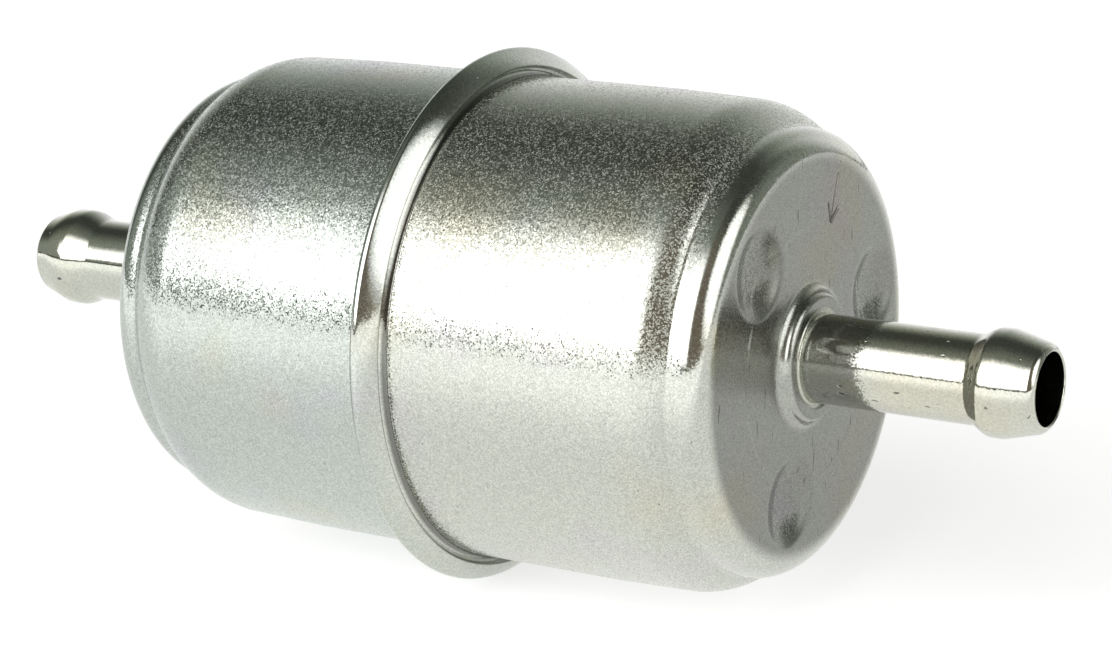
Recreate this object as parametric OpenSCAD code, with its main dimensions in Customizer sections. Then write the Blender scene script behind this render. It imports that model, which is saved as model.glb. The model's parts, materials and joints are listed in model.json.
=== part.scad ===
// In-line fuel filter. Two drawn steel cups are rolled together at a seam, a barbed
// tube is brazed into each end, and a pleated paper element is sealed inside.
// Millimetres, +Z up. The can's axis is X and the origin is on it, at the seam.
// Fuel comes in at +X, passes through the paper towards the axis and leaves at -X.

/* [Can] */
// Outer diameter of the cups on the straight land next to the seam
can_d = 44.6; // [44.2:0.1:46]
// Thickness of the drawn sheet
sheet = 0.5; // [0.45:0.01:0.5]
// Distance from the seam to either flat end face
face_x = 31.15; // [31.15:0.05:36]
// Length of the straight land on each cup, measured from the seam
land_len = 16; // [8:0.5:18]
// How much the cup's radius shrinks from the land to the shoulder
draft = 0.2; // [0.05:0.05:0.4]
// Radius of the round shoulder
shoulder_r = 6.2; // [5.8:0.1:6.6]
// Radial drop from the land to the end step
step_drop = 2.25; // [2:0.05:2.5]
// Radius of the hollow corner between shoulder and step
step_fillet = 0.75; // [0.5:0.05:1]
// Length of the straight wall of the end step
step_len = 0.43; // [0.2:0.01:0.8]
// Radius of the rounded edge around the end face
edge_r = 2.4; // [1.8:0.1:2.8]

/* [Seam] */
// Diameter over the rolled seam
seam_d = 49.6; // [49.2:0.1:50.4]
// Distance from the seam plane to the flange's outlet side
flange_back = 0.95; // [0.9:0.01:1.1]
// Distance from the seam plane to the rolled edge on the inlet side
hem_reach = 1.25; // [1.1:0.01:1.3]
// Slope of the rolled hem against the can's axis, in degrees
hem_angle = 47; // [46:0.5:50]

/* [End boss] */
// Diameter of the flat top of the boss around each tube
boss_d = 10.4; // [10.2:0.1:11]
// Height of the boss above the end face
boss_h = 1.15; // [1:0.05:1.25]
// Radius of the hollow corner at the boss's foot
boss_fillet = 0.95; // [0.85:0.05:1.1]
// Radius of the boss's outer rim
boss_rim = 0.65; // [0.6:0.05:0.75]

/* [Tubes] */
// Outer diameter of each tube
tube_d = 7.94; // [7.9:0.02:8]
// Bore of each tube
bore_d = 6.4; // [5.6:0.1:6.6]
// Distance from the seam to either tube mouth
mouth_x = 53.95; // [52:0.05:60]
// Diameter over the crest of either barb
barb_d = 9.5; // [9:0.05:10]
// Length of the cylindrical crest of either barb
crest_len = 1; // [0.8:0.1:1.5]
// Length of the inlet barb's taper down to its mouth
inlet_taper = 3.6; // [3:0.1:4.5]
// Length of the inlet barb's back slope
inlet_rise = 1.9; // [1.5:0.1:3]
// Length of the outlet barb's taper down to its mouth
outlet_taper = 3; // [2.4:0.1:4]
// Length of the outlet barb's back slope
outlet_rise = 2.7; // [1.5:0.1:3.5]

/* [Dimples in the inlet face] */
// Number of standing dimples
dimple_count = 3; // [3:1:4]
// Diameter of the circle that the dimples stand on
dimple_circle = 26.2; // [25.6:0.1:26.6]
// Diameter of one dimple at the face
dimple_d = 9; // [8:0.1:9]
// Depth of one dimple
dimple_depth = 1.1; // [0.9:0.05:1.5]
// Radius of the rounded rim of one dimple
dimple_rim = 1.6; // [1.2:0.05:1.8]
// Angle of the first dimple, from +Y towards +Z, in degrees
dimple_turn = 16; // [0:1:119]

/* [Flow mark] */
// Length of the stamped arrow on the inlet face
mark_len = 4.2; // [3:0.1:5]
// Width of the arrow's stamped lines
mark_w = 0.22; // [0.15:0.01:0.4]
// Depth of the arrow's stamped lines
mark_depth = 0.12; // [0.08:0.01:0.2]

/* [Element] */
// Number of pleats in the paper
pleats = 40; // [30:1:42]
// Outer diameter over the pleats
pleat_od = 34.6; // [32:0.1:34.8]
// Thickness of the filter paper
paper = 0.45; // [0.3:0.05:0.45]
// Outer diameter of both end caps
cap_d = 36; // [35.8:0.1:36.6]
// Thickness of the end caps' sheet
cap_sheet = 0.4; // [0.3:0.05:0.4]
// Height of the rim on either end cap
cap_rim = 3.4; // [3.2:0.1:4]
// Outer diameter of the perforated centre tube
core_d = 14; // [13.8:0.1:14]
// Wall of the perforated centre tube
core_wall = 0.4; // [0.3:0.05:0.4]
// Diameter of one hole in the centre tube
core_hole_d = 3; // [2:0.1:3.4]
// Rows of holes along the centre tube
core_rows = 9; // [6:1:10]
// Length of the seam clip's legs over one pleat
clip_leg = 3; // [2:0.1:4]

/* [Hidden] */

spin_fn = 96;
arc_steps = 8;
rise_steps = 10;

can_r = can_d / 2;
tube_r = tube_d / 2;
bore_r = bore_d / 2;
barb_r = barb_d / 2;
core_r = core_d / 2;
cap_r = cap_d / 2;

// End step: the round shoulder meets the step wall through a hollow corner
shoulder_top = can_r - draft;
step_r = can_r - step_drop;
corner_up = step_r + step_fillet - (shoulder_top - shoulder_r);
corner_dist = shoulder_r + step_fillet;
corner_along = sqrt(corner_dist * corner_dist - corner_up * corner_up);
corner_angle = atan2(corner_up, corner_along);
shoulder_x = face_x - edge_r - step_len - corner_along;

// Boss: a hollow corner runs into a rounded rim, and the flat top turns back along the tube
boss_x = face_x + boss_h;
boss_top_r = boss_d / 2;
boss_lean = acos((boss_fillet + boss_rim - boss_h) / (boss_fillet + boss_rim));
boss_foot_r = boss_top_r + (boss_fillet + boss_rim) * sin(boss_lean);
braze_gap = 0.1;
hole_r = tube_r + braze_gap;
turn_r = 0.68;
collar_end = face_x - 0.95;

// Rolled seam
bend_r = sheet;
bend_c = [flange_back - bend_r, seam_d / 2 - bend_r];
flange_fillet = 0.4;
flange_foot = [flange_back + flange_fillet, can_r + flange_fillet];
hem_normal = [sin(hem_angle), cos(hem_angle)];
hem_top = [bend_c[0] - bend_r * hem_normal[0], bend_c[1] + bend_r * hem_normal[1]];
hem_tip = [-hem_reach, hem_top[1] - (hem_top[0] + hem_reach) * tan(hem_angle)];
flare_fillet = 0.6;
flare_c_r = can_r + flare_fillet;
flare_foot_r = flare_c_r - flare_fillet * hem_normal[1];
flare_foot_x = (bend_c[1] - flare_foot_r) / tan(hem_angle) - bend_c[0];
flare_c = [flare_foot_x + flare_fillet * hem_normal[0], flare_c_r];
flare_tip = [0, bend_c[1] - bend_c[0] * tan(hem_angle)];

// Tubes
inlet_tube_end = face_x - 1.15;
outlet_tube_end = 22.5;
mouth_round = 0.85;
mouth_r = 3.85;
inner_edge = 0.25;

// Element, measured along X
dimple_r = dimple_d / 2;
dimple_ball = (pow(dimple_r, 2) + pow(dimple_depth, 2) - 2 * dimple_rim * dimple_depth)
    / (2 * dimple_depth);
closed_x = face_x - dimple_depth - sheet;
dish_depth = 1.5;
dish_r = 7.4;
dish_slope = 1.2;
potting_t = 1.95;
open_x = 27.4;
cap_neck_r = 6.2;
cap_neck_end = 23.6;
media_in_x = closed_x - cap_sheet - potting_t;
media_out_x = -(open_x - cap_sheet - potting_t);
media_len = media_in_x - media_out_x;
media_mid = (media_in_x + media_out_x) / 2;
pleat_or = pleat_od / 2;
pleat_ir = core_r + 0.05;
fold_gap = 0.1;
fold_half = fold_gap + paper;
clip_t = 0.3;
clip_clear = 0.05;

// Points of an arc around c in the (x, r) plane, from angle a to angle b
function arc(c, r, a, b, steps = arc_steps) =
    [for (i = [0 : steps]) let (t = a + (b - a) * i / steps) [c[0] + r * cos(t), c[1] + r * sin(t)]];

function reversed(path) = [for (i = [len(path) - 1 : -1 : 0]) path[i]];

// Turns a closed outline of (x, r) points around the X axis
module spin(outline) {
    rotate([0, 90, 0])
        rotate_extrude($fn = spin_fn)
            polygon([for (p = outline) [p[1], p[0]]]);
}

// One skin of a cup from its land to the collar along the tube, d under the outside
function cup_end(d) = concat(
    [[land_len, can_r - d]],
    arc([shoulder_x, shoulder_top - shoulder_r], shoulder_r - d, 90, corner_angle, 2 * arc_steps),
    arc([shoulder_x + corner_along, step_r + step_fillet], step_fillet + d, 180 + corner_angle, 270),
    arc([face_x - edge_r, step_r - edge_r], edge_r - d, 90, 0, 12),
    arc([face_x + boss_fillet, boss_foot_r], boss_fillet + d, 180, 180 + boss_lean),
    arc([boss_x - boss_rim, boss_top_r], boss_rim - d, boss_lean, 0),
    arc([boss_x - turn_r, hole_r + turn_r], turn_r - d, 0, -90),
    [[collar_end, hole_r + d]]
);

// Seam end of the inlet cup: a flared mouth held under the hem
function flare_skin(d) = concat(
    [flare_tip - d * hem_normal],
    arc(flare_c, flare_fillet + d, 270 - hem_angle, 270)
);

// Seam end of the outlet cup: a flange whose rim is rolled over the flare.
// The cup is drawn towards +X and mirrored when it is built.
function hem_skin(d) = concat(
    [hem_tip + d * [hem_normal[0], -hem_normal[1]]],
    arc(bend_c, max(bend_r - d, 0.001), 90 + hem_angle, 0),
    arc(flange_foot, flange_fillet + d, 180, 270)
);

module cup(outer_end, inner_end) {
    spin(concat(outer_end, cup_end(0), reversed(cup_end(sheet)), reversed(inner_end)));
}

// Half outline of a dimple, u across and v deep, its surface moved d deeper
function dimple_outline(d) = let (
    ball_c = [0, dimple_depth - dimple_ball],
    rim_c = [dimple_r, dimple_rim],
    meet = atan2(rim_c[1] - ball_c[1], rim_c[0])
) concat(
    arc(ball_c, dimple_ball + d, 90, meet),
    arc(rim_c, dimple_rim - d, 180 + meet, 270)
);

module at_dimples() {
    for (i = [0 : dimple_count - 1])
        let (a = dimple_turn + 360 * i / dimple_count)
            translate([face_x, dimple_circle / 2 * cos(a), dimple_circle / 2 * sin(a)])
                rotate([0, -90, 0])
                    children();
}

// Metal pushed inwards behind the end wall by one dimple
module dimple_bump() {
    rotate_extrude($fn = 48)
        polygon(concat(dimple_outline(sheet), [[dimple_r, sheet / 2], [0, sheet / 2]]));
}

// Hollow of one dimple, open above the end face
module dimple_hollow() {
    rotate_extrude($fn = 48)
        polygon(concat(dimple_outline(0), [[dimple_r, -1], [0, -1]]));
}

// Stamped arrow that points towards the tube, as straight grooves
module flow_mark() {
    mark_mid_r = 14.2;
    barb_len = mark_len * 0.4;
    barb_angle = 35;
    mark_turn = 72;
    rotate([mark_turn, 0, 0])
        translate([face_x - mark_depth, mark_mid_r - mark_len / 2, -mark_w / 2]) {
            cube([1, mark_len, mark_w]);
            for (side = [-1, 1])
                translate([0, 0, mark_w / 2])
                    rotate([side * barb_angle, 0, 0])
                        translate([0, 0, -mark_w / 2])
                            cube([1, barb_len, mark_w]);
        }
}

module inlet_cup() {
    color("silver")
        difference() {
            union() {
                cup(flare_skin(0), flare_skin(sheet));
                at_dimples() dimple_bump();
            }
            at_dimples() dimple_hollow();
            flow_mark();
        }
}

module outlet_cup() {
    color("silver")
        mirror([1, 0, 0])
            cup(hem_skin(0), hem_skin(sheet));
}

// Height of a barb's back slope at share t of its length
function rise_at(t) = tube_r + (barb_r - tube_r) * (1 - cos(180 * t)) / 2;

// A tube with a rounded barb at its mouth, drawn towards +X
module barbed_tube(inner_end, rise, taper) {
    crest_end = mouth_x - taper;
    rise_start = crest_end - crest_len - rise;
    spin(concat(
        [[inner_end, bore_r], [inner_end, tube_r - inner_edge], [inner_end + inner_edge, tube_r]],
        [for (i = [0 : rise_steps]) [rise_start + rise * i / rise_steps, rise_at(i / rise_steps)]],
        [[crest_end, barb_r]],
        arc([mouth_x - mouth_round, mouth_r - mouth_round + 0.15], mouth_round, 75, 0),
        [[mouth_x, bore_r]]
    ));
}

module inlet_tube() {
    color("lightgray") barbed_tube(inlet_tube_end, inlet_rise, inlet_taper);
}

module outlet_tube() {
    color("lightgray")
        mirror([1, 0, 0])
            barbed_tube(outlet_tube_end, outlet_rise, outlet_taper);
}

// Braze metal drawn into the joint, with a small fillet in the boss's mouth
module braze_ring() {
    fillet_lean = 38;
    spin(concat(
        [[collar_end, tube_r], [collar_end, hole_r]],
        arc([boss_x - turn_r, hole_r + turn_r], turn_r, -90, -fillet_lean),
        [[boss_x, tube_r]]
    ));
}

module inlet_braze() {
    color("peru") braze_ring();
}

module outlet_braze() {
    color("peru") mirror([1, 0, 0]) braze_ring();
}

// Sealing ring between the flange and the flared mouth
module seam_gasket() {
    plate_x = -bend_c[0];
    gasket_in = can_r - 0.3;
    color("dimgray")
        spin([
            [plate_x, gasket_in], [plate_x, bend_c[1] - 0.1], flare_tip,
            flare_tip - sheet * hem_normal,
            flare_c - (flare_fillet + sheet) * hem_normal,
            [flare_c[0] - flare_fillet - sheet, gasket_in]
        ]);
}

// Outside of the closed end cap from the axis to its rim, moved d inwards
function closed_cap_skin(d) = [
    [closed_x - dish_depth - d, 0],
    [closed_x - dish_depth - d, dish_r + d / 2],
    [closed_x - d, dish_r + dish_slope + d / 2],
    [closed_x - d, cap_r - max(d, 0.3)],
    [closed_x - max(d, 0.3), cap_r - d]
];

module closed_end_cap() {
    rim_x = closed_x - cap_rim;
    color("gainsboro")
        spin(concat(
            closed_cap_skin(0),
            [[rim_x, cap_r], [rim_x, cap_r - cap_sheet]],
            reversed(closed_cap_skin(cap_sheet))
        ));
}

// Cap on the outlet side, with a neck that holds the grommet
module open_end_cap() {
    rim_x = open_x - cap_rim;
    edge = 0.3;
    color("gainsboro")
        mirror([1, 0, 0])
            spin([
                [cap_neck_end, cap_neck_r - cap_sheet], [open_x, cap_neck_r - cap_sheet],
                [open_x, cap_r - edge], [open_x - edge, cap_r],
                [rim_x, cap_r], [rim_x, cap_r - cap_sheet],
                [open_x - cap_sheet, cap_r - cap_sheet], [open_x - cap_sheet, cap_neck_r],
                [cap_neck_end, cap_neck_r]
            ]);
}

// Potting compound that seals the paper's end into the closed cap
module closed_end_potting() {
    color("darkkhaki")
        spin(concat(
            closed_cap_skin(cap_sheet),
            [[media_in_x, cap_r - cap_sheet], [media_in_x, 0]]
        ));
}

// Potting compound that seals the paper's end into the open cap
module open_end_potting() {
    color("darkkhaki")
        spin([
            [media_out_x, cap_neck_r], [media_out_x, cap_r - cap_sheet],
            [-(open_x - cap_sheet), cap_r - cap_sheet], [-(open_x - cap_sheet), cap_neck_r]
        ]);
}

// A point at radius r, moved side from the ray at angle a
function beside(r, a, side) =
    [r * cos(a) - side * sin(a), r * sin(a) + side * cos(a)];

// Zigzag of the pleats: half widths at the outer and at the inner folds
function pleat_ring(outer_r, outer_half, inner_r, inner_half) = [
    for (i = [0 : pleats - 1]) let (a = 360 * i / pleats, b = a + 180 / pleats)
        each [
            beside(outer_r, a, -outer_half), beside(outer_r, a, outer_half),
            beside(inner_r, b, -inner_half), beside(inner_r, b, inner_half)
        ]
];

module filter_media() {
    color("burlywood")
        translate([media_out_x, 0, 0])
            rotate([0, 90, 0])
                linear_extrude(height = media_len)
                    difference() {
                        polygon(pleat_ring(pleat_or, fold_half, pleat_ir + paper, fold_gap / 2));
                        polygon(pleat_ring(pleat_or - paper, fold_gap / 2, pleat_ir, fold_half));
                    }
}

// Folded strip that clamps the two ends of the paper together, over the top pleat
module media_seam_clip() {
    inner_half = fold_half + clip_clear;
    clip_len = media_len - 4;
    clip_top = pleat_or + clip_clear;
    // Turning the pleats onto the X axis puts the first one at -Z
    color("silver")
        translate([media_mid - clip_len / 2, 0, 0])
            difference() {
                translate([0, -inner_half - clip_t, -clip_top - clip_t])
                    cube([clip_len, 2 * (inner_half + clip_t), clip_leg]);
                translate([-1, -inner_half, -clip_top])
                    cube([clip_len + 2, 2 * inner_half, clip_leg + 1]);
            }
}

module center_tube() {
    margin = 4;
    pitch = (media_len - 2 * margin) / (core_rows - 1);
    color("silver")
        difference() {
            spin([
                [media_out_x, core_r - core_wall], [media_out_x, core_r],
                [media_in_x, core_r], [media_in_x, core_r - core_wall]
            ]);
            for (row = [0 : core_rows - 1])
                for (turn = [0 : 60 : 120])
                    translate([media_out_x + margin + pitch * row, 0, 0])
                        rotate([turn + 30 * (row % 2), 0, 0])
                            cylinder(h = core_d + 2, d = core_hole_d, center = true, $fn = 24);
        }
}

// Rubber grommet between the outlet tube and the open cap's neck
module outlet_grommet() {
    lip_r = 7.6;
    lip_t = 1;
    color("black")
        mirror([1, 0, 0])
            spin([
                [cap_neck_end, tube_r], [cap_neck_end, cap_neck_r - cap_sheet],
                [open_x, cap_neck_r - cap_sheet], [open_x, lip_r],
                [open_x + lip_t, lip_r], [open_x + lip_t, tube_r]
            ]);
}

inlet_cup();
outlet_cup();
inlet_tube();
outlet_tube();
inlet_braze();
outlet_braze();
seam_gasket();
closed_end_cap();
open_end_cap();
closed_end_potting();
open_end_potting();
filter_media();
media_seam_clip();
center_tube();
outlet_grommet();
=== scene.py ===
import functools
import json
import math

import bpy
import numpy as np
from mathutils import Matrix, Vector


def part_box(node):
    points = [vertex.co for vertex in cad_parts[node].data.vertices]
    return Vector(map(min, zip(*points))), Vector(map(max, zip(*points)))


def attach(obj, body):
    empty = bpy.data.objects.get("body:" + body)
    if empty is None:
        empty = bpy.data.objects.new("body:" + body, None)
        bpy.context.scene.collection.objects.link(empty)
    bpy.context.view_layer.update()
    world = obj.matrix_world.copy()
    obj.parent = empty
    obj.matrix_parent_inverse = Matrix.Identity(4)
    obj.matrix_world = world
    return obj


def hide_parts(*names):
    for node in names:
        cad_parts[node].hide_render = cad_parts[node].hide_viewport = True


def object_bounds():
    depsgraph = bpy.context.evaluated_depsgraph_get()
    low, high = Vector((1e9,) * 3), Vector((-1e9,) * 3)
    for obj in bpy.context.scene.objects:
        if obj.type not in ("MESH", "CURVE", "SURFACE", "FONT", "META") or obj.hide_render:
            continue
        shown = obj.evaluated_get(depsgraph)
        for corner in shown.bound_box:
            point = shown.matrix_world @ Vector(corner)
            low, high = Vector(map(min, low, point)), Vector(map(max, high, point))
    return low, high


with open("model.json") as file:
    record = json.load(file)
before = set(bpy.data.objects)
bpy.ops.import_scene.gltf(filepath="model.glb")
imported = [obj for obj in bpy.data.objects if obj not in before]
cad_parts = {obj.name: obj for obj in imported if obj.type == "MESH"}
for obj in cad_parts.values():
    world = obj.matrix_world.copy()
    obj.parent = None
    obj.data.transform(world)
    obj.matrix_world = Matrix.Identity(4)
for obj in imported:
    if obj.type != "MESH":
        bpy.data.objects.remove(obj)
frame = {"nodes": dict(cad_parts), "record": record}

CAD_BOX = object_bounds()
MM = 0.001
SAME_POINT = 0.0001 * MM

# ---------------------------------------------------------------- dimensions, in metres
# Places that the frame gives
SEAM_R = CAD_BOX[1].z
MOUTH_X = CAD_BOX[1].x
BOSS_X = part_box("inlet_cup")[1].x
TUBE_IN_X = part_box("inlet_tube")[0].x
TUBE_OUT_X = -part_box("outlet_tube")[1].x
BARB_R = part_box("inlet_tube")[1].z
COLLAR_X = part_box("inlet_braze")[0].x

# Sheet and can
SHEET = 0.5 * MM
CAN_R = 22.3 * MM
LAND_X = 16 * MM
DRAFT = 0.2 * MM
BOSS_H = 1.15 * MM
FACE_X = BOSS_X - BOSS_H
SHOULDER_R = 6.2 * MM
STEP_R = CAN_R - 2.25 * MM
STEP_FILLET = 0.75 * MM
STEP_LEN = 0.43 * MM
EDGE_R = 2.4 * MM

# Boss round each tube
TUBE_R = 3.97 * MM
BORE_R = 3.2 * MM
BRAZE_GAP = 0.1 * MM
HOLE_R = TUBE_R + BRAZE_GAP
BOSS_TOP_R = 5.2 * MM
BOSS_FILLET = 0.95 * MM
BOSS_RIM = 0.65 * MM
BOSS_LEAN = math.acos(1 - BOSS_H / (BOSS_FILLET + BOSS_RIM))
BOSS_FOOT_R = BOSS_TOP_R + (BOSS_FILLET + BOSS_RIM) * math.sin(BOSS_LEAN)
BOSS_TURN = 0.68 * MM

# Rolled seam
FLANGE_BACK = 0.95 * MM
FLANGE_FILLET = 0.4 * MM
HEM_REACH = 1.25 * MM
HEM_ANGLE = math.radians(47)
FLARE_FILLET = 0.6 * MM
HEM_EASE = 0.12 * MM

# Barbs: back slope, crest and taper of each
CREST = 1.0 * MM
INLET_BARB = (1.9 * MM, 3.6 * MM)
OUTLET_BARB = (2.7 * MM, 3.0 * MM)
MOUTH_ROUND = 0.85 * MM
MOUTH_R = 3.85 * MM

# Dimples in the inlet face
DIMPLE_COUNT = 3
DIMPLE_AT_R = 13.1 * MM
DIMPLE_R = 4.5 * MM
DIMPLE_DEPTH = 1.1 * MM
DIMPLE_RIM = 1.6 * MM
DIMPLE_TURN = math.radians(16)
DIMPLE_BALL = (DIMPLE_R ** 2 + DIMPLE_DEPTH ** 2 - 2 * DIMPLE_RIM * DIMPLE_DEPTH) / (2 * DIMPLE_DEPTH)

# Stamped arrow on the inlet face
MARK_ANGLE = math.radians(72)
MARK_MID_R = 14.2 * MM
MARK_LEN = 4.2 * MM
MARK_HALF_W = 0.24 * MM
MARK_DEPTH = 0.2 * MM
COIN_R = 11.7 * MM
MARK_BARB = 0.4
MARK_SPREAD = math.radians(35)

# Steps round the axis in degrees, closer at the arrow
CUP_TURN = 1.5
TUBE_TURN = 2.5
MARK_TURN = 0.35
MARK_SPAN = math.radians(8)

# Braze fillet
BRAZE_FILLET = 0.26 * MM
BRAZE_LEAN = 38

# ---------------------------------------------------------------- finish
# Colour films on the plating
STRAW = (1.05, 0.98, 0.88)
LILAC = (0.99, 0.94, 1.06)
STRAW_SIZE = 7 * MM
LILAC_SIZE = 5 * MM
FILM_SHIFT = (0.31, 0.17, 0.23)
FILM_STRENGTH = 0.7
SIDE_BLEND = 2 * MM

# Pits, scratches, and painted shade in the arrow's grooves and in the seam's crevice
DIRT_AND_SHADE = (0.07, 0.068, 0.06, 1)
PIT_SPACING = 1.1 * MM
PIT_DARKNESS = 0.7
SCRATCH_TURN = math.radians(62)
SCRATCH_STRETCH = (0.2, 1.0, 0.11)
SCRATCH_WIDTH = 0.16 * MM
SCRATCH_DARKNESS = 0.8
MARK_SHADE = 0.65
CREVICE_SHADE = 0.75
CREST_SHADE = 0.45

# Relief of the end wall, how much painted shade and dullness the boss takes, and how rare dull crystals are
RELIEF = 0.03 * MM
COIN_HEIGHT = 1.5
BOSS_SHADE_AND_DULLNESS = 0.5
DULL_RARITY = 2.5

# Studio lights
PANEL_LIGHT = 4.6
GLOW_LIGHT = 0.3
LAMP_LIGHT = 2.2
LAMP_WAY = (0.934, 0.0, 0.358)
WALL_LIGHT = 1.1
ROOM_LIGHT = 0.16
AMBIENT = 0.075
FLOOR_SHINE = 0.63
FRONT_SHINE = 0.58


# ---------------------------------------------------------------- outlines in the (x, r) plane
def arc(cx, cr, radius, start, end, steps=12):
    """Points round (cx, cr), from start to end in degrees."""
    turns = [math.radians(start + (end - start) * i / steps) for i in range(steps + 1)]
    return [(cx + radius * math.cos(t), cr + radius * math.sin(t)) for t in turns]


def refine(points, longest):
    """The same line with no straight stretch longer than given."""
    fine = [points[0]]
    for a, b in zip(points, points[1:]):
        parts = max(1, math.ceil(math.dist(a, b) / longest))
        fine += [(a[0] + (b[0] - a[0]) * i / parts, a[1] + (b[1] - a[1]) * i / parts)
                 for i in range(1, parts + 1)]
    return fine


def cup_end(d):
    """One skin of a cup from its land to the collar along the tube, d under the outside."""
    top = CAN_R - DRAFT
    up = STEP_R + STEP_FILLET - (top - SHOULDER_R)
    along = math.sqrt((SHOULDER_R + STEP_FILLET) ** 2 - up ** 2)
    lean = math.degrees(math.atan2(up, along))
    shoulder_x = FACE_X - EDGE_R - STEP_LEN - along
    boss_lean = math.degrees(BOSS_LEAN)
    return (
        [(LAND_X, CAN_R - d)]
        + arc(shoulder_x, top - SHOULDER_R, SHOULDER_R - d, 90, lean, 28)
        + arc(shoulder_x + along, STEP_R + STEP_FILLET, STEP_FILLET + d, 180 + lean, 270)
        + arc(FACE_X - EDGE_R, STEP_R - EDGE_R, EDGE_R - d, 90, 0, 20)
        + arc(FACE_X + BOSS_FILLET, BOSS_FOOT_R, BOSS_FILLET + d, 180, 180 + boss_lean)
        + arc(BOSS_X - BOSS_RIM, BOSS_TOP_R, BOSS_RIM - d, boss_lean, 0)
        + arc(BOSS_X - BOSS_TURN, HOLE_R + BOSS_TURN, BOSS_TURN - d, 0, -90)
        + [(COLLAR_X, HOLE_R + d)]
    )


def seam_points():
    """Centre of the rolled rim, and the direction that the hem's face looks in."""
    return (FLANGE_BACK - SHEET, SEAM_R - SHEET), (math.sin(HEM_ANGLE), math.cos(HEM_ANGLE))


def flare_skin(d):
    """Seam end of the inlet cup, a flared mouth under the hem, d under its outside."""
    (bx, br), (nx, nr) = seam_points()
    foot_r = CAN_R + FLARE_FILLET - FLARE_FILLET * nr
    cx = (br - foot_r) / math.tan(HEM_ANGLE) - bx + FLARE_FILLET * nx
    tip = (0.0, br - bx * math.tan(HEM_ANGLE))
    return ([(tip[0] - d * nx, tip[1] - d * nr)]
            + arc(cx, CAN_R + FLARE_FILLET, FLARE_FILLET + d, 270 - math.degrees(HEM_ANGLE), 270, 10))


def hem_skin(d):
    """Seam end of the outlet cup, a flange rolled over the flare, drawn towards +X."""
    (bx, br), (nx, nr) = seam_points()
    lean = math.degrees(HEM_ANGLE)
    top = (bx - SHEET * nx, br + SHEET * nr)
    tip = (-HEM_REACH, top[1] - (top[0] + HEM_REACH) * math.tan(HEM_ANGLE))
    end = [(tip[0] + d * nx, tip[1] - d * nr)]
    if d == 0:
        # The hem's cut edge is eased, so that it catches the light as sheared sheet does
        end = [(tip[0] + HEM_EASE * nx, tip[1] - HEM_EASE * nr),
               (tip[0] + 0.3 * HEM_EASE * nx + 0.3 * HEM_EASE * nr,
                tip[1] - 0.3 * HEM_EASE * nr + 0.3 * HEM_EASE * nx),
               (tip[0] + HEM_EASE * nr, tip[1] + HEM_EASE * nx)]
    return (end + arc(bx, br, max(SHEET - d, 0.001 * MM), 90 + lean, 0, 16)
            + arc(FLANGE_BACK + FLANGE_FILLET, CAN_R + FLANGE_FILLET, FLANGE_FILLET + d, 180, 270, 10))


def tube_outline(inner_x, barb):
    """A hose tube with a rounded barb at its mouth, drawn towards +X."""
    rise, taper = barb
    crest_end = MOUTH_X - taper
    start = crest_end - CREST - rise
    steps = 24
    slope = [(start + rise * i / steps,
              TUBE_R + (BARB_R - TUBE_R) * (1 - math.cos(math.pi * i / steps)) / 2)
             for i in range(steps + 1)]
    ease = 0.25 * MM
    lip = 0.15 * MM
    return (
        [(inner_x, BORE_R), (inner_x, TUBE_R - ease), (inner_x + ease, TUBE_R)]
        + slope
        + [(crest_end, BARB_R)]
        + arc(MOUTH_X - MOUTH_ROUND, MOUTH_R - MOUTH_ROUND + lip, MOUTH_ROUND, 75, 12, 12)
        + arc(MOUTH_X - lip, BORE_R + lip, lip, 0, -90, 6)
    )


# ---------------------------------------------------------------- meshes
def spin(name, outline, angles, side=1, shape=None):
    """A closed outline of (x, r) points turned round X. shape may move the points, given as arrays."""
    apart = [p for p, before in zip(outline, outline[-1:] + outline) if math.dist(p, before) > SAME_POINT]
    x, r = np.array(apart).T
    a = np.asarray(angles)
    n, m = len(x), len(a)
    points = np.empty((m, n, 3))
    points[:, :, 0] = x
    points[:, :, 1] = np.cos(a)[:, None] * r
    points[:, :, 2] = np.sin(a)[:, None] * r
    if shape:
        shape(points)
    points[:, :, 0] *= side
    i, j = np.meshgrid(np.arange(m), np.arange(n), indexing="ij")
    ni, nj = (i + 1) % m, (j + 1) % n
    quads = np.stack([i * n + j, i * n + nj, ni * n + nj, ni * n + j], -1).reshape(-1, 4)
    # Outward faces, whichever way the outline runs and whichever side it is built on
    area = np.sum(x * np.roll(r, -1) - np.roll(x, -1) * r)
    if (area > 0) == (side > 0):
        quads = quads[:, ::-1]
    mesh = bpy.data.meshes.new(name)
    mesh.from_pydata(points.reshape(-1, 3).tolist(), [], quads.tolist())
    mesh.validate()
    mesh.shade_smooth()
    mesh.set_sharp_from_angle(angle=math.radians(38))
    piece = bpy.data.objects.new(name, mesh)
    bpy.context.scene.collection.objects.link(piece)
    return piece


def around(step_deg, fine_deg=None, fine_at=0.0, fine_half=0.0):
    """Angles for a full turn, with closer steps within fine_half of fine_at, in radians."""
    angles = list(np.radians(np.arange(0, 360, step_deg)))
    if fine_deg:
        fine = np.radians(fine_deg)
        angles = [t for t in angles
                  if abs((t - fine_at + math.pi) % (2 * math.pi) - math.pi) > fine_half + fine / 2]
        angles += list(np.arange(fine_at - fine_half, fine_at + fine_half + fine / 2, fine))
    return np.sort(np.array(angles))


def dimple_sink(u, d):
    """Depth of a dimple's surface, d under the outside, at distance u from its middle."""
    ball, rim = DIMPLE_BALL + d, DIMPLE_RIM - d
    meet = math.atan2(DIMPLE_RIM - DIMPLE_DEPTH + DIMPLE_BALL, DIMPLE_R)
    bowl = DIMPLE_DEPTH - DIMPLE_BALL + np.sqrt(np.maximum(ball ** 2 - u ** 2, 0))
    edge = DIMPLE_RIM - np.sqrt(np.maximum(rim ** 2 - (u - DIMPLE_R) ** 2, 0))
    return np.where(u < ball * math.cos(meet), bowl, np.where(u < DIMPLE_R, edge, d)) - d


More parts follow.
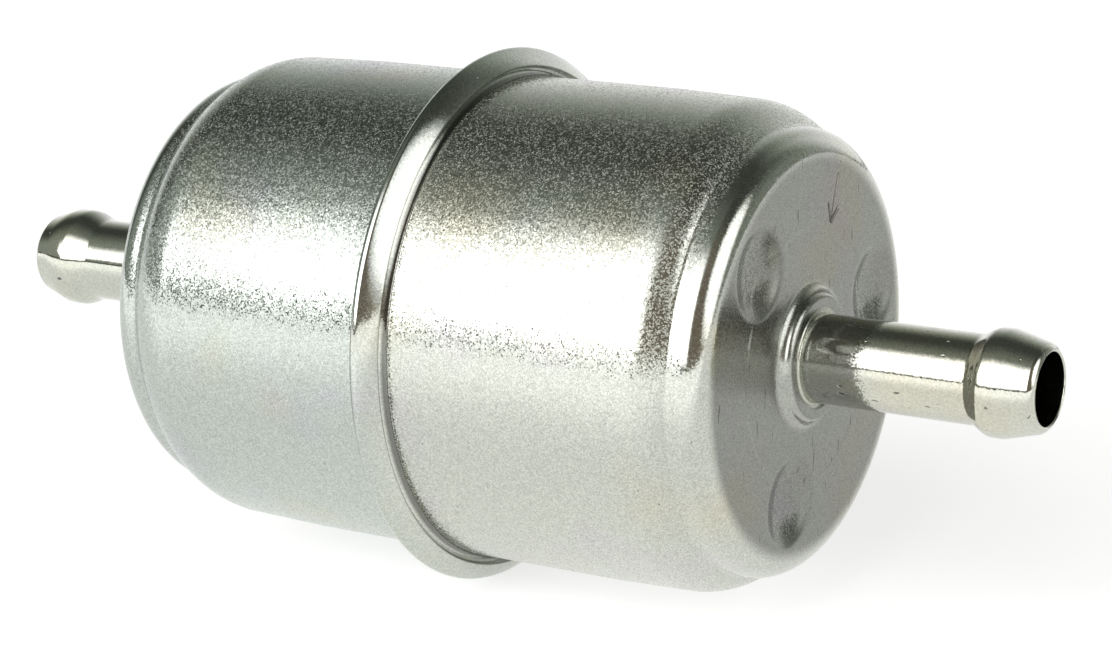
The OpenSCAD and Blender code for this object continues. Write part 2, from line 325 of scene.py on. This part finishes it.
def mark_sink(y, z):
    """Depth of the stamped arrow's lines."""
    along = y * math.cos(MARK_ANGLE) + z * math.sin(MARK_ANGLE) - MARK_MID_R
    across = -y * math.sin(MARK_ANGLE) + z * math.cos(MARK_ANGLE)
    half = MARK_LEN / 2

    def groove(t0, t1, s0, s1):
        """One straight line from (t0, s0) to (t1, s1), along and across."""
        length = math.hypot(t1 - t0, s1 - s0)
        ux, uy = (t1 - t0) / length, (s1 - s0) / length
        near = np.clip((along - t0) * ux + (across - s0) * uy, 0, length)
        gap = np.hypot(along - t0 - near * ux, across - s0 - near * uy)
        return np.clip(1 - gap / MARK_HALF_W, 0, 1)

    head = MARK_LEN * MARK_BARB
    lines = [groove(-half, half, 0, 0)]
    for s in (-1, 1):
        lines.append(groove(-half, -half + head * math.cos(MARK_SPREAD), 0, s * head * math.sin(MARK_SPREAD)))
    return MARK_DEPTH * np.max(lines, axis=0)


def press_inlet_face(points):
    """Presses the dimples and the arrow into the flat of the inlet cup's end wall."""
    x, y, z = points[..., 0], points[..., 1], points[..., 2]
    outer = np.abs(x - FACE_X) < 0.01 * MM
    inner = np.abs(x - FACE_X + SHEET) < 0.01 * MM
    flat = np.hypot(y, z) > BOSS_FOOT_R
    for i in range(DIMPLE_COUNT):
        t = DIMPLE_TURN + 2 * math.pi * i / DIMPLE_COUNT
        u = np.hypot(y - DIMPLE_AT_R * math.cos(t), z - DIMPLE_AT_R * math.sin(t))
        x -= np.where(outer & flat, dimple_sink(u, 0.0), 0)
        x -= np.where(inner & flat, dimple_sink(u, SHEET), 0)
    x -= np.where(outer & flat, mark_sink(y, z), 0)


def cup_outline(outer_seam, inner_seam, outer_step, inner_step):
    """Closed outline of a cup; the flats of its end wall are cut into rings of the given steps."""
    def skin(points, face_step):
        cut = []
        for a, b in zip(points, points[1:]):
            on_face = abs(a[0] - b[0]) < SAME_POINT and a[0] > FACE_X - 2 * SHEET and abs(a[1] - b[1]) > MM
            cut += refine([a, b], face_step if on_face else 4 * MM)[:-1]
        return cut + [points[-1]]

    outer = skin(outer_seam + cup_end(0), outer_step)
    inner = skin(inner_seam + cup_end(SHEET), inner_step)
    return outer + inner[::-1]


def build_inlet_cup():
    outline = cup_outline(flare_skin(0), flare_skin(SHEET), 0.12 * MM, 0.5 * MM)
    angles = around(CUP_TURN, MARK_TURN, MARK_ANGLE, MARK_SPAN)
    return spin("inlet_cup_spun", outline, angles, shape=press_inlet_face)


def build_outlet_cup():
    outline = cup_outline(hem_skin(0), hem_skin(SHEET), 2 * MM, 4 * MM)
    return spin("outlet_cup_spun", outline, around(CUP_TURN), side=-1)


def build_tube(name, inner_x, barb, side):
    outline = tube_outline(inner_x, barb)
    fine = refine(outline + outline[:1], 1.5 * MM)[:-1]
    return spin(name, fine, around(TUBE_TURN), side=side)


def build_braze(name, side):
    """A ring of braze with a small fillet in the boss's mouth."""
    outline = ([(COLLAR_X, TUBE_R), (COLLAR_X, HOLE_R)]
               + arc(BOSS_X - BOSS_TURN, HOLE_R + BOSS_TURN, BOSS_TURN, -90, -BRAZE_LEAN, 8)
               + arc(BOSS_X, TUBE_R + BRAZE_FILLET, BRAZE_FILLET, 190, 262, 8)
               + [(BOSS_X, TUBE_R)])
    return spin(name, outline, around(TUBE_TURN), side=side)


# ---------------------------------------------------------------- node helpers
class Nodes:
    """Short names for building a node tree. Values may be sockets or numbers."""

    def __init__(self, tree):
        self.tree = tree
        tree.nodes.clear()

    def add(self, kind, **values):
        node = self.tree.nodes.new(kind)
        for key, value in values.items():
            if key in node.bl_rna.properties:
                setattr(node, key, value)
            else:
                node.inputs[key.replace("_", " ")].default_value = value
        return node

    def link(self, a, b):
        self.tree.links.new(a, b)

    def feed(self, value, socket):
        """Links a socket, or sets a number, into an input."""
        if hasattr(value, "is_output"):
            self.link(value, socket)
        else:
            socket.default_value = value

    def math(self, operation, *values):
        node = self.add("ShaderNodeMath", operation=operation)
        for socket, value in zip(node.inputs, values):
            self.feed(value, socket)
        return node.outputs[0]

    def times(self, *values):
        return functools.reduce(lambda a, b: self.math("MULTIPLY", a, b), values)

    def most(self, *values):
        return functools.reduce(lambda a, b: self.math("MAXIMUM", a, b), values)

    def total(self, *values):
        return functools.reduce(lambda a, b: self.math("ADD", a, b), values)

    def minus(self, a, b):
        return self.math("SUBTRACT", a, b)

    def over(self, value, low, high):
        """0 under low, 1 over high, smooth between."""
        node = self.add("ShaderNodeMapRange", interpolation_type="SMOOTHSTEP")
        self.link(value, node.inputs["Value"])
        node.inputs["From Min"].default_value = low
        node.inputs["From Max"].default_value = high
        return node.outputs["Result"]

    def under(self, value, low, high):
        """1 under low, 0 over high, smooth between."""
        return self.minus(1.0, self.over(value, low, high))

    def spread(self, value, low, high):
        """A value from 0 to 1, spread from low to high."""
        node = self.add("ShaderNodeMapRange")
        self.link(value, node.inputs["Value"])
        node.inputs["To Min"].default_value = low
        node.inputs["To Max"].default_value = high
        return node.outputs["Result"]

    def vector(self, operation, *values):
        node = self.add("ShaderNodeVectorMath", operation=operation)
        for socket, value in zip(node.inputs, values):
            self.feed(value, socket)
        return node.outputs["Value" if operation in ("LENGTH", "DISTANCE", "DOT_PRODUCT") else "Vector"]

    def scaled(self, vector, factor):
        node = self.add("ShaderNodeVectorMath", operation="SCALE")
        self.link(vector, node.inputs[0])
        self.feed(factor, node.inputs["Scale"])
        return node.outputs["Vector"]

    def parts(self, vector):
        """The three numbers of a vector."""
        node = self.add("ShaderNodeSeparateXYZ")
        self.link(vector, node.inputs[0])
        return node.outputs

    def mix(self, factor, a, b, blend="MIX"):
        """Mixes two colours."""
        node = self.add("ShaderNodeMix", data_type="RGBA", blend_type=blend)
        for socket, value in ((node.inputs[0], factor), (node.inputs[6], a), (node.inputs[7], b)):
            self.feed(value, socket)
        return node.outputs[2]

    def tinted(self, base, colour):
        """A colour multiplied by another."""
        return self.mix(1.0, base, (*colour, 1), "MULTIPLY")

    def noise(self, place, size, detail=2.0):
        """Noise whose grains are about size metres across."""
        node = self.add("ShaderNodeTexNoise", Scale=0.5 / size, Detail=detail, Roughness=0.5)
        self.link(place, node.inputs["Vector"])
        return node.outputs["Fac"]

    def cells(self, place, size):
        """Voronoi cells of about size metres: their random colours and the distance to their middles."""
        node = self.add("ShaderNodeTexVoronoi", Scale=1 / size)
        self.link(place, node.inputs["Vector"])
        return node.outputs["Color"], node.outputs["Distance"]


def new_material(name):
    material = bpy.data.materials.new(name)
    material.use_nodes = True
    n = Nodes(material.node_tree)
    output = n.add("ShaderNodeOutputMaterial")
    shader = n.add("ShaderNodeBsdfPrincipled")
    n.link(shader.outputs[0], output.inputs[0])
    place = n.add("ShaderNodeTexCoord").outputs["Object"]
    return material, n, shader, place


# ---------------------------------------------------------------- plated steel
def end_wall_masks(n, x, r):
    """Where a cup is end wall, where that wall is flat and takes the painted shade and satin (in full on the
    flats and the boss's top, half on the boss's slopes), and where it is a dimple, each 0 to 1.
    """
    out = n.math("ABSOLUTE", x)
    end = n.over(out, FACE_X - 2.6 * MM, FACE_X - 1.6 * MM)
    flat_r = STEP_R - EDGE_R
    inside = n.under(r, flat_r - 0.6 * MM, flat_r + 1.0 * MM)
    wall = n.times(n.over(r, BOSS_TOP_R + 0.4 * MM, BOSS_FOOT_R + 0.2 * MM), inside)
    boss_top = n.over(out, BOSS_X - 0.14 * MM, BOSS_X - 0.03 * MM)
    # The boss's slopes take half of the painted shade and of the satin dullness
    flat = n.times(end, n.most(n.times(inside, BOSS_SHADE_AND_DULLNESS), wall, boss_top))
    dent = n.times(end, inside, n.under(out, FACE_X - 0.75 * MM, FACE_X - 0.15 * MM))
    return end, flat, dent


def film_colour(n, place, side, tints):
    """The tint of each side, with slow drifts to straw and to lilac."""
    base = n.mix(side, (*tints[0], 1), (*tints[1], 1))
    straw = n.over(n.noise(place, STRAW_SIZE), 0.5, 0.7)
    base = n.mix(n.times(straw, FILM_STRENGTH), base, n.tinted(base, STRAW))
    moved = n.vector("ADD", place, FILM_SHIFT)
    lilac = n.over(n.noise(moved, LILAC_SIZE), 0.55, 0.75)
    return n.mix(n.times(lilac, FILM_STRENGTH), base, n.tinted(base, LILAC))


def speckled(n, base, shade, speckle):
    """A colour made lighter or darker by up to speckle, as shade goes from 0 to 1."""
    level = n.spread(shade, 1.0 - speckle, 1.0 + speckle)
    grey = n.add("ShaderNodeCombineColor")
    for socket in grey.inputs[:3]:
        n.link(level, socket)
    return n.mix(1.0, base, grey.outputs[0], "MULTIPLY")


def pits(n, place):
    """Sparse dark specks."""
    middle = n.under(n.cells(place, PIT_SPACING)[1], 0.04, 0.10)
    few = n.over(n.noise(place, 1.7 * MM), 0.54, 0.6)
    return n.times(middle, few, PIT_DARKNESS)


def scratches(n, place, flat):
    """Short thin strokes on the flats of the end walls."""
    turned = n.add("ShaderNodeMapping")
    turned.inputs["Rotation"].default_value = (SCRATCH_TURN, 0, 0)
    turned.inputs["Scale"].default_value = SCRATCH_STRETCH
    n.link(place, turned.inputs["Vector"])
    stroke = n.over(n.noise(turned.outputs[0], SCRATCH_WIDTH, 1.0), 0.72, 0.76)
    return n.times(stroke, flat, SCRATCH_DARKNESS)


def arrow_groove_shade(n, place, x, flat):
    """Painted shade in the grooves of the stamped arrow."""
    middle = (FACE_X, MARK_MID_R * math.cos(MARK_ANGLE), MARK_MID_R * math.sin(MARK_ANGLE))
    near = n.under(n.vector("DISTANCE", place, middle), MARK_LEN, 1.1 * MARK_LEN)
    sunk = n.under(n.math("ABSOLUTE", x), FACE_X - 0.14 * MM, FACE_X - 0.03 * MM)
    return n.times(sunk, flat, near, MARK_SHADE)


def seam_painted_shade(n, x, r):
    """Painted shade in the crevice at the hem's edge, and a thin painted shade line behind the rolled rim's
    crest.
    """
    at_edge = n.under(n.math("ABSOLUTE", n.minus(x, HEM_REACH + 0.1 * MM)), 0.12 * MM, 0.4 * MM)
    low = n.minus(n.over(r, CAN_R + 0.005 * MM, CAN_R + 0.03 * MM),
                  n.over(r, CAN_R + 0.7 * MM, CAN_R + 1.1 * MM))
    behind = n.math("ABSOLUTE", n.total(x, FLANGE_BACK - 0.2 * MM))
    line = n.times(n.under(behind, 0.05 * MM, 0.16 * MM), n.over(r, CAN_R + 1.2 * MM, CAN_R + 1.6 * MM))
    return n.most(n.times(at_edge, low, CREVICE_SHADE), n.times(line, CREST_SHADE))


def plated_steel(name, grain, tilt, speckle, rough, dullest, tints, painted_face_shade, face_rough):
    """Zinc plate on drawn steel: fine crystals of size grain that each lean their own way by up to
    tilt and run from rough to dullest, faint colour films, pits, scratches, and painted shade in
    the arrow's grooves and the seam's crevice. tilt and tints are given for the outlet and the
    inlet side. The flat end walls are darkened by a painted shade of the given strength and duller by
    face_rough."""
    material, n, shader, place = new_material(name)
    shader.inputs["Metallic"].default_value = 1.0
    x = n.parts(place)[0]
    r = n.vector("LENGTH", n.vector("MULTIPLY", place, (0, 1, 1)))
    end, flat, dent = end_wall_masks(n, x, r)
    side = n.over(x, -SIDE_BLEND, SIDE_BLEND)
    crystal = n.cells(place, grain)[0]
    shade, gloss, _ = n.parts(crystal)

    base = film_colour(n, place, side, tints)
    # Painted shade: the flat end walls and the boss are darkened to stand in for the darker surroundings they
    # reflect
    base = n.mix(flat, base, n.tinted(base, (painted_face_shade,) * 3))
    base = speckled(n, base, shade, speckle)
    # Real pits and scratches, and painted shade in the arrow's grooves and the seam's crevice
    dark = n.most(pits(n, place), scratches(n, place, flat),
                  arrow_groove_shade(n, place, x, flat), seam_painted_shade(n, x, r))
    n.link(n.mix(dark, base, DIRT_AND_SHADE), shader.inputs["Base Color"])

    # Calm where the sheet was drawn tight: end walls, bosses and rolled seam
    tight = n.most(n.times(end, 0.9), n.over(r, CAN_R + 0.02 * MM, CAN_R + 0.1 * MM))
    loose = n.total(n.minus(1.0, n.times(tight, 0.85)), n.times(dent, 0.5))

    # Some crystals are glossy and some dull, so they part where bright and dark meet
    satin = n.times(n.minus(flat, n.times(dent, 0.7)), face_rough)
    dull = n.times(n.math("POWER", gloss, DULL_RARITY), loose, dullest - rough)
    n.link(n.total(dull, rough, satin), shader.inputs["Roughness"])

    # Each crystal leans its own way, over the sunk pits, scratches and painted-shade marks and a faint coined
    # step on the end wall
    amount = n.times(loose, n.math("MULTIPLY_ADD", side, 2 * (tilt[1] - tilt[0]), 2 * tilt[0]))
    lean = n.scaled(n.vector("SUBTRACT", crystal, (0.5, 0.5, 0.5)), amount)
    coin = n.times(flat, n.over(r, COIN_R - 0.25 * MM, COIN_R + 0.25 * MM), COIN_HEIGHT)
    bump = n.add("ShaderNodeBump", Strength=1.0, Distance=RELIEF)
    n.link(n.minus(coin, dark), bump.inputs["Height"])
    n.link(n.vector("NORMALIZE", n.vector("ADD", bump.outputs[0], lean)), shader.inputs["Normal"])
    return material


# ---------------------------------------------------------------- the other materials
def plain_surface(name, colour, other, size, rough, metallic=0.0, bump_height=0.02 * MM):
    """A surface of two close colours in grains of size, with a bump to match."""
    material, n, shader, place = new_material(name)
    shader.inputs["Metallic"].default_value = metallic
    grain = n.noise(place, size, 4.0)
    n.link(n.mix(n.over(grain, 0.35, 0.65), (*colour, 1), (*other, 1)), shader.inputs["Base Color"])
    n.link(n.spread(grain, rough * 0.8, min(1.0, rough * 1.2)), shader.inputs["Roughness"])
    bump = n.add("ShaderNodeBump", Strength=1.0, Distance=bump_height)
    n.link(grain, bump.inputs["Height"])
    n.link(bump.outputs[0], shader.inputs["Normal"])
    return material


def cup_steel(name):
    return plated_steel(name, grain=0.115 * MM, tilt=(0.055, 0.055), speckle=0.17, rough=0.07, dullest=0.75,
                        tints=((0.465, 0.5, 0.465), (0.51, 0.525, 0.475)), painted_face_shade=0.46, face_rough=0.2)


def tube_steel(name):
    return plated_steel(name, grain=0.14 * MM, tilt=(0.012, 0.055), speckle=0.1, rough=0.06, dullest=0.35,
                        tints=((0.53, 0.545, 0.48), (0.55, 0.56, 0.50)), painted_face_shade=1.0, face_rough=0.0)


def braze(name):
    return plain_surface(name, (0.5, 0.51, 0.45), (0.46, 0.46, 0.4), 0.25 * MM, 0.22, 1.0)


def gasket_rubber(name):
    return plain_surface(name, (0.03, 0.03, 0.03), (0.05, 0.05, 0.048), 0.4 * MM, 0.6)


def tinned_steel(name):
    return plain_surface(name, (0.66, 0.66, 0.64), (0.58, 0.58, 0.57), 2 * MM, 0.25, 1.0, 0.005 * MM)


def potting(name):
    return plain_surface(name, (0.5, 0.36, 0.12), (0.42, 0.29, 0.09), 1.5 * MM, 0.35)


def filter_paper(name):
    return plain_surface(name, (0.72, 0.55, 0.28), (0.62, 0.45, 0.21), 0.5 * MM, 0.9, 0.0, 0.04 * MM)


def core_steel(name):
    return plain_surface(name, (0.6, 0.6, 0.58), (0.5, 0.5, 0.49), 1 * MM, 0.3, 1.0, 0.005 * MM)


def grommet_rubber(name):
    return plain_surface(name, (0.02, 0.02, 0.022), (0.035, 0.035, 0.035), 0.4 * MM, 0.55)


def finish_materials():
    """One material for each slot of the record."""
    makers = {
        "cup_plated_steel": cup_steel,
        "tube_plated_steel": tube_steel,
        "braze_metal": braze,
        "gasket_rubber": gasket_rubber,
        "cap_tinned_steel": tinned_steel,
        "potting": potting,
        "filter_paper": filter_paper,
        "core_steel": core_steel,
        "grommet_rubber": grommet_rubber,
    }
    return {slot: make(slot) for slot, make in makers.items()}


def wear(piece, slot, materials):
    """Gives a piece the material of a record slot, whether it is new or a CAD node."""
    piece.data.materials.clear()
    piece.data.materials.append(materials[slot])


# ---------------------------------------------------------------- studio
def set_camera():
    """The photograph's view: from the inlet end, a little above the can."""
    azimuth, elevation = math.radians(31.47), math.radians(13.13)
    distance, aim_right, aim_up = 299.5 * MM, -4.317 * MM, 1.175 * MM
    back = Vector((math.sin(azimuth) * math.cos(elevation), -math.cos(azimuth) * math.cos(elevation),
                   math.sin(elevation)))
    right = Vector((math.cos(azimuth), math.sin(azimuth), 0))
    up = back.cross(right)
    data = bpy.data.cameras.new("camera")
    data.sensor_width = 36
    data.lens = 104.51
    data.clip_start = 0.01
    camera = bpy.data.objects.new("camera", data)
    turn = Matrix((right, up, back)).transposed().to_4x4()
    camera.matrix_world = Matrix.Translation(back * distance - right * aim_right - up * aim_up) @ turn
    bpy.context.scene.collection.objects.link(camera)
    bpy.context.scene.camera = camera


def panel_light(n, turn, lean):
    """One long soft panel in front. Its top edge is a little lower towards the outlet."""
    slide = n.math("MINIMUM", n.times(n.total(lean, 33.5), 1.8), 6.0)
    top = n.minus(turn, n.most(slide, -8.0))
    foot = n.total(turn, n.math("MINIMUM", n.total(lean, 31.0), 0.0))
    height = n.times(n.over(foot, 1, 8), n.under(top, 25, 58))
    reach = n.times(n.over(lean, -47, -38), n.under(lean, 12, 24))
    return n.times(height, reach, PANEL_LIGHT)


def glow_light(n, turn, lean):
    """A faint glow above the panel."""
    return n.times(n.over(turn, 0, 7), n.under(turn, 45, 100), n.under(lean, 10, 24), GLOW_LIGHT)


def lamp_light(n, place, turn):
    """A round lamp head low beyond the inlet, weaker at its lower side."""
    facing = n.vector("DOT_PRODUCT", place, LAMP_WAY)
    lower_side = n.math("MULTIPLY_ADD", n.over(turn, 10, 50), 0.7, 0.3)
    return n.times(n.over(facing, 0.87, 0.96), lower_side, LAMP_LIGHT)


def wall_light(n, turn, lean):
    """A pale back wall, darker towards the inlet."""
    return n.times(n.over(turn, 110, 182), n.minus(WALL_LIGHT, n.times(n.over(lean, 10, 32), 0.85)))


def set_studio_light():
    """A world of soft lights under a dark ceiling. turn is the angle round the can's axis in
    degrees, 0 in front and 90 up; lean is the angle towards the inlet."""
    world = bpy.data.worlds.new("studio")
    bpy.context.scene.world = world
    world.use_nodes = True
    n = Nodes(world.node_tree)
    output = n.add("ShaderNodeOutputWorld")
    shader = n.add("ShaderNodeBackground")
    n.link(shader.outputs[0], output.inputs[0])
    place = n.add("ShaderNodeTexCoord").outputs["Generated"]
    x, y, z = n.parts(place)
    turn = n.times(n.math("ARCTAN2", z, n.times(y, -1.0)), 180 / math.pi)
    lean = n.times(n.math("ARCSINE", x), 180 / math.pi)

    # Brown room between the panel's end and the lamp head
    room = n.times(n.over(turn, -12, 2), n.under(turn, 55, 90), n.over(lean, 12, 26))
    lights = n.total(panel_light(n, turn, lean), glow_light(n, turn, lean),
                     n.most(lamp_light(n, place, turn), wall_light(n, turn, lean)))
    level = n.total(lights, n.times(room, ROOM_LIGHT), AMBIENT)
    n.link(level, shader.inputs["Strength"])
    dim = n.mix(room, (0.92, 1.0, 0.86, 1), (1.0, 0.86, 0.68, 1))
    n.link(n.mix(n.over(level, 0.2, 0.9), dim, (1, 1, 1, 1)), shader.inputs["Color"])


def set_floor():
    """A pale sweep that shines a little by itself, as a light table does."""
    half = 2.0
    z = CAD_BOX[0].z
    corners = [(-half, -half, z), (half, -half, z), (half, half, z), (-half, half, z)]
    mesh = bpy.data.meshes.new("floor")
    mesh.from_pydata(corners, [], [(0, 1, 2, 3)])
    floor = bpy.data.objects.new("floor", mesh)
    bpy.context.scene.collection.objects.link(floor)
    material, n, shader, place = new_material("floor")
    shader.inputs["Roughness"].default_value = 1.0
    shader.inputs["Specular IOR Level"].default_value = 0.0
    shader.inputs["Emission Color"].default_value = (1, 1, 1, 1)
    paper = n.mix(n.noise(place, 1.5 * MM, 3.0), (0.57, 0.57, 0.57, 1), (0.6, 0.6, 0.6, 1))
    n.link(paper, shader.inputs["Base Color"])
    front = n.over(n.times(n.parts(place)[1], -1.0), 0.03, 0.12)
    n.link(n.total(n.times(front, FRONT_SHINE), FLOOR_SHINE), shader.inputs["Emission Strength"])
    mesh.materials.append(material)


# ---------------------------------------------------------------- the object
def main():
    materials = finish_materials()
    slots = {s["node"]: s["material_slot"] for s in frame["record"]["subparts"]}
    spun = {
        "inlet_cup": build_inlet_cup(),
        "outlet_cup": build_outlet_cup(),
        "inlet_tube": build_tube("inlet_tube_spun", TUBE_IN_X, INLET_BARB, 1),
        "outlet_tube": build_tube("outlet_tube_spun", TUBE_OUT_X, OUTLET_BARB, -1),
        "inlet_braze": build_braze("inlet_braze_spun", 1),
        "outlet_braze": build_braze("outlet_braze_spun", -1),
    }
    for node, piece in spun.items():
        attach(piece, "root")
        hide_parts(node)
        wear(piece, slots[node], materials)
    for node, piece in frame["nodes"].items():
        if node not in spun:
            wear(piece, slots[node], materials)
    set_camera()
    set_studio_light()
    set_floor()
    bpy.context.scene.view_settings.view_transform = "Standard"


main()
